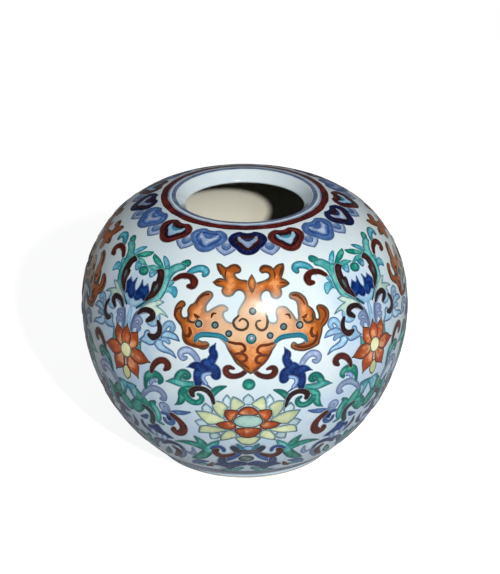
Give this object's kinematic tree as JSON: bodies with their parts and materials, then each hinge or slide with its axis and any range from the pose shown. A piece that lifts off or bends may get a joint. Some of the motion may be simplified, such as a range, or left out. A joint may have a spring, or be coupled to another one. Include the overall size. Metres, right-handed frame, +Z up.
{
  "type": "water coupe",
  "caption": "Globular porcelain water pot for a writing desk, with an inturned sloping lip, a low foot ring, and painted bats, lotus scrolls and a collar of ruyi heads.",
  "frame": {"origin": "centre of the foot, on the surface that the pot stands on", "axes": "+Z up along the pot's axis, and -Y towards the front, where a bat is painted"},
  "size_m": [0.1, 0.1, 0.0822],
  "materials": {
    "porcelain": "matt",
    "slip": "matt",
    "exterior_glaze": "gloss",
    "interior_glaze": "gloss",
    "base_glaze": "gloss"
  },
  "bodies": {
    "root": {"foot_ring": "porcelain", "foot_luting": "slip", "lower_body": "porcelain", "belly_luting": "slip", "upper_body": "porcelain", "rim_luting": "slip", "mouth_rim": "porcelain", "exterior_glaze": "exterior_glaze", "interior_glaze": "interior_glaze", "base_glaze": "base_glaze"}
  },
  "joints": []
}
